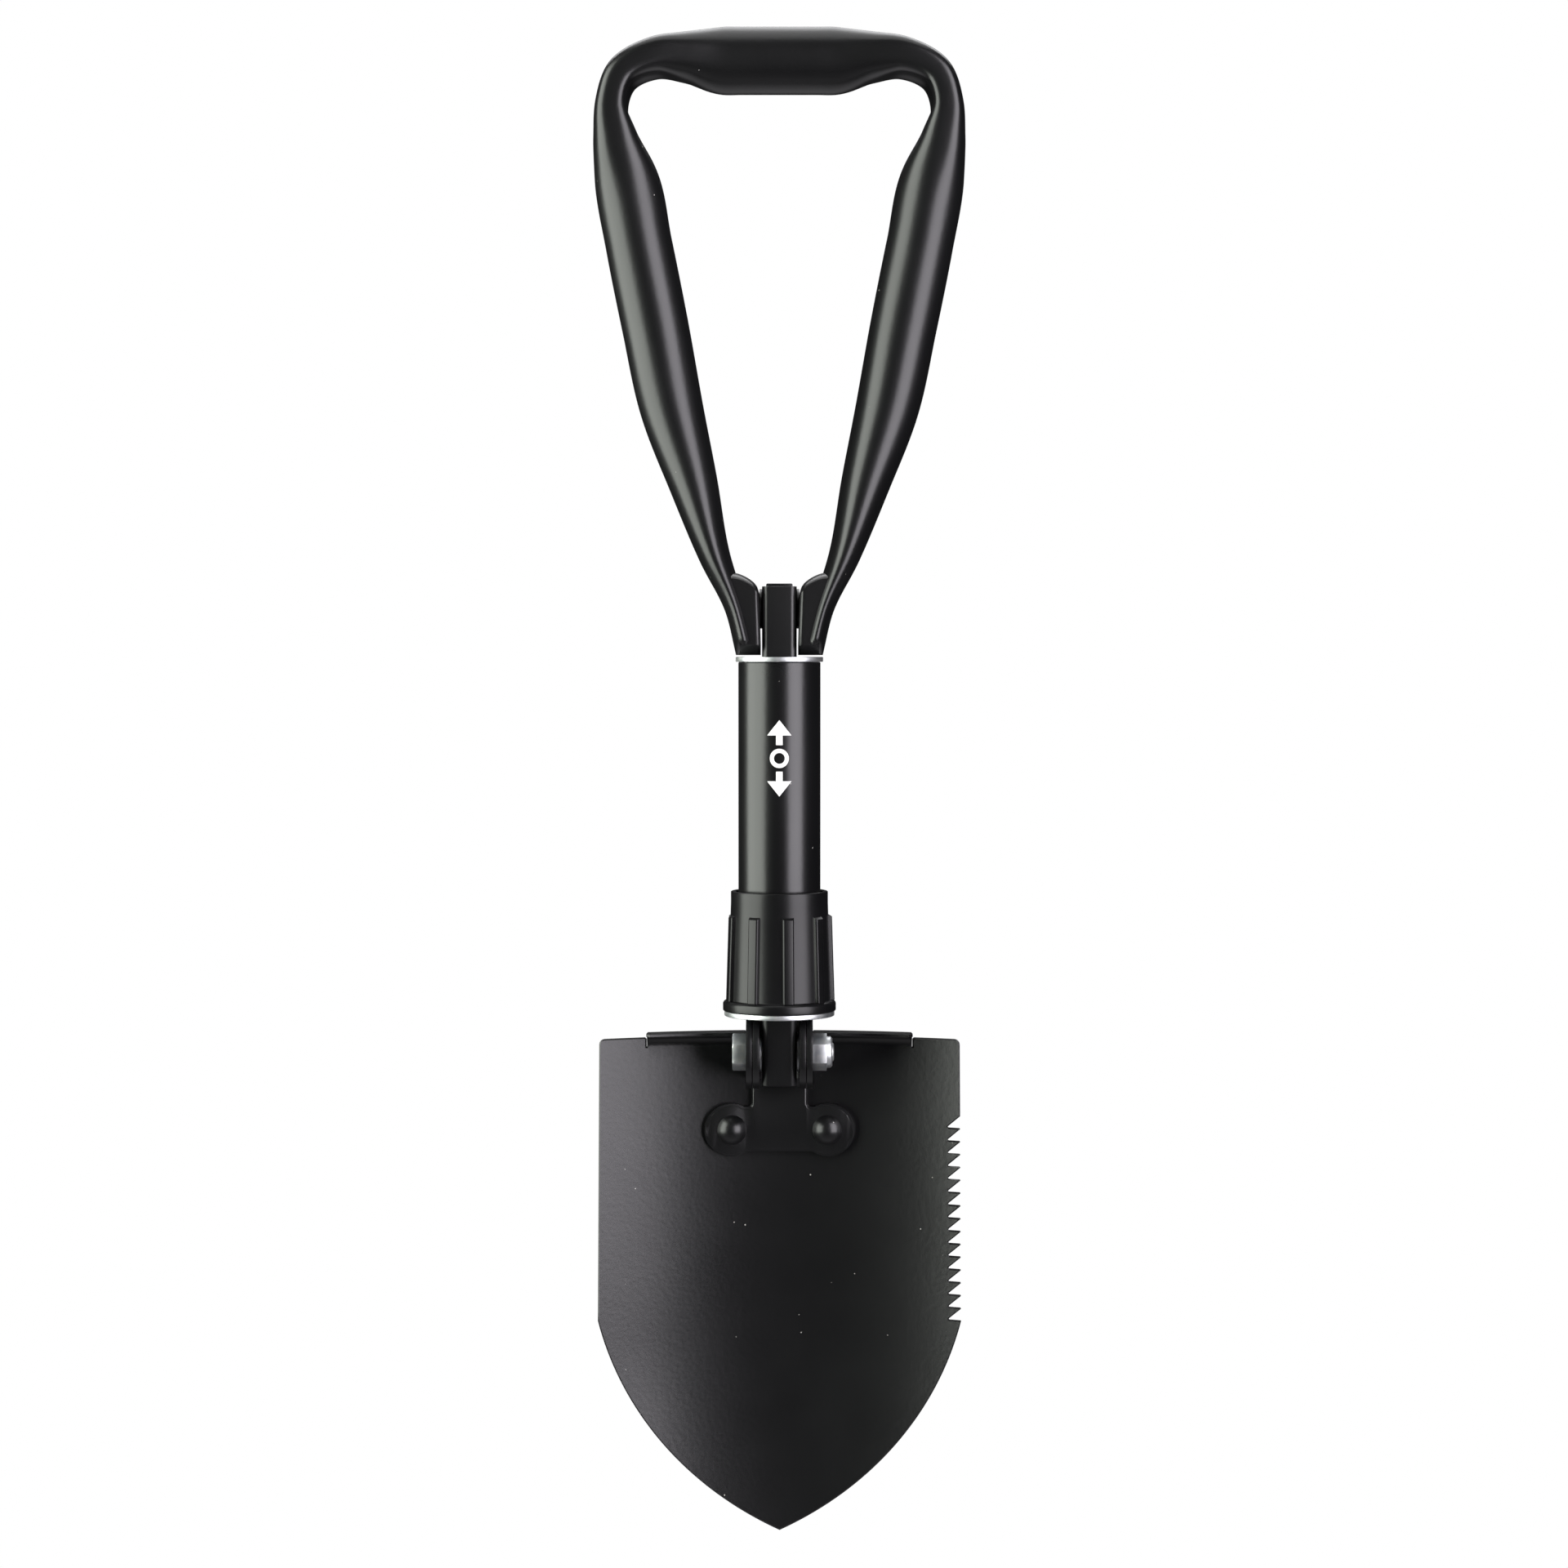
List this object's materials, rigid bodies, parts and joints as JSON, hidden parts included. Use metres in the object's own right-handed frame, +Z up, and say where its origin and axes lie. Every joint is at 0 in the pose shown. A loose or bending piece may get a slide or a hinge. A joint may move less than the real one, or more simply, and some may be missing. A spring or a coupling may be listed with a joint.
{
  "type": "folding camp shovel",
  "caption": "Folding camp shovel with a pointed dished blade, one saw edge, screw-locked telescoping shaft and a folding triangular loop handle.",
  "frame": {"origin": "on the shaft's axis, half way along the bare length of the sleeve, where a clamp or a hand holds it", "axes": "+Z up the shaft to the grip, -Y the way the hollow face of the open blade looks, +X the saw edge"},
  "size_m": [0.1128, 0.0452, 0.4635],
  "materials": {
    "tube_paint": "satin black powder coat",
    "handle_paint": "satin black powder coat",
    "blade_paint": "satin black powder coat",
    "bracket_paint": "satin black powder coat",
    "bar_paint": "satin black powder coat",
    "zinc_steel": "bright zinc plate",
    "collar_plastic": "satin moulded black",
    "nylon_ring": "pale nylon"
  },
  "bodies": {
    "sleeve": {"sleeve_tube": "tube_paint", "top_washer": "zinc_steel"},
    "core": {"inner_bar": "bar_paint", "handle_pin": "bar_paint", "handle_spacer_left": "bar_paint", "handle_spacer_right": "bar_paint"},
    "handle": {"handle_loop": "handle_paint"},
    "blade": {"blade": "blade_paint", "front_bracket": "bracket_paint", "rear_bracket": "bracket_paint", "blade_rivet_left": "bracket_paint", "blade_rivet_right": "bracket_paint", "pivot_bolt": "zinc_steel", "pivot_nut": "zinc_steel", "nut_insert": "nylon_ring", "pivot_washer_left": "zinc_steel", "pivot_washer_right": "zinc_steel"},
    "washer": {"collar_washer": "zinc_steel"},
    "collar": {"locking_collar": "collar_plastic"}
  },
  "joints": [
    {"name": "collar_travel", "type": "slide", "parent": "sleeve", "child": "washer", "axis": [0, 0, 1], "range_m": [-0.0011, 0.0121]},
    {"name": "collar_turn", "type": "hinge", "parent": "washer", "child": "collar", "pos_m": [0, 0, -0.054], "axis": [0, 0, 1], "range_deg": [-131, 1441]},
    {"name": "core_slide", "type": "slide", "parent": "sleeve", "child": "core", "axis": [0, 0, 1], "range_m": [-0.00054, 0.006]},
    {"name": "blade_fold", "type": "hinge", "parent": "core", "child": "blade", "pos_m": [0, 0, -0.0843], "axis": [-1, 0, 0], "range_deg": [0, 180]},
    {"name": "handle_fold", "type": "hinge", "parent": "core", "child": "handle", "pos_m": [0, 0, 0.051], "axis": [1, 0, 0], "range_deg": [-150, 180]}
  ],
  "couplings": [
    {"joint": "collar_travel", "follows": "core_slide", "ratio": 2},
    {"joint": "collar_turn", "follows": "core_slide", "rad_per_m": 4188.8}
  ]
}
